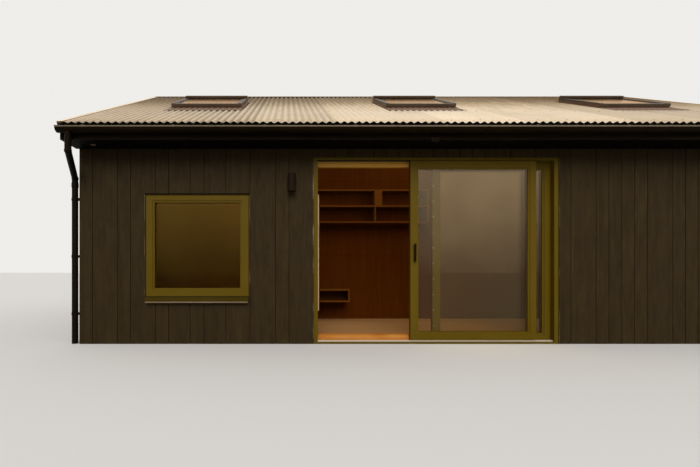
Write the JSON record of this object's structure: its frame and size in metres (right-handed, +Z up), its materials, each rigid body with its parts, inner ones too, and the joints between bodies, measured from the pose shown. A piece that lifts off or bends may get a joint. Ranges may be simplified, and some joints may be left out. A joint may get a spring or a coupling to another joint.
{
  "type": "garden office",
  "caption": "Timber garden studio with a corrugated gable roof, roof windows, boxed eaves, a square window and a sliding glass door that runs.",
  "frame": {"origin": "ground level, under the middle of the ridge", "axes": "+X along the front to the right, +Y from the front to the back, +Z up"},
  "size_m": [8.604, 6.848, 3.9825],
  "materials": {
    "cladding": "black stained sawn boards",
    "timber": "birch and pine plywood, oiled",
    "roof_metal": "weathered pale grey corrugated sheet",
    "dark_metal": "matt dark grey-brown",
    "gutter_metal": "satin black",
    "green_paint": "satin olive green",
    "steel": "bare running rail",
    "glazing": "clear sealed unit",
    "lens": "frosted"
  },
  "bodies": {
    "building": {"front_cladding": "cladding", "back_cladding": "cladding", "gable_cladding": "cladding", "barge_boards": "cladding", "fascia_boards": "cladding", "soffits": "cladding", "floor": "timber", "front_wall_left": "timber", "front_wall_over_door": "timber", "front_wall_right": "timber", "back_wall": "timber", "left_gable_wall": "timber", "right_gable_wall": "timber", "inner_wall": "timber", "wall_linings": "timber", "ceiling": "timber", "roof_deck_front": "timber", "roof_deck_back": "timber", "door_threshold": "timber", "door_head_board": "timber", "bookcase": "timber", "console": "timber", "roof_sheets_front": "roof_metal", "roof_sheets_back": "roof_metal", "ridge_cap": "roof_metal", "verge_trims": "roof_metal", "roof_window_frames": "dark_metal", "roof_window_flashings": "dark_metal", "front_gutter": "gutter_metal", "back_gutter": "gutter_metal", "gutter_straps": "gutter_metal", "downpipes": "gutter_metal", "wall_light": "gutter_metal", "eaves_sensor": "gutter_metal", "window_frame": "green_paint", "window_sill": "green_paint", "door_frame": "green_paint", "fixed_panel": "green_paint", "door_track": "steel", "roof_window_glass": "glazing", "window_glass": "glazing", "fixed_glass": "glazing", "soffit_lights": "lens"},
    "door": {"sliding_panel": "green_paint", "sliding_glass": "glazing", "door_handle": "gutter_metal", "door_rollers": "steel"}
  },
  "joints": [
    {"name": "door_slide", "type": "slide", "parent": "building", "child": "door", "axis": [1, 0, 0], "range_m": [-1.042, 0.194]}
  ]
}
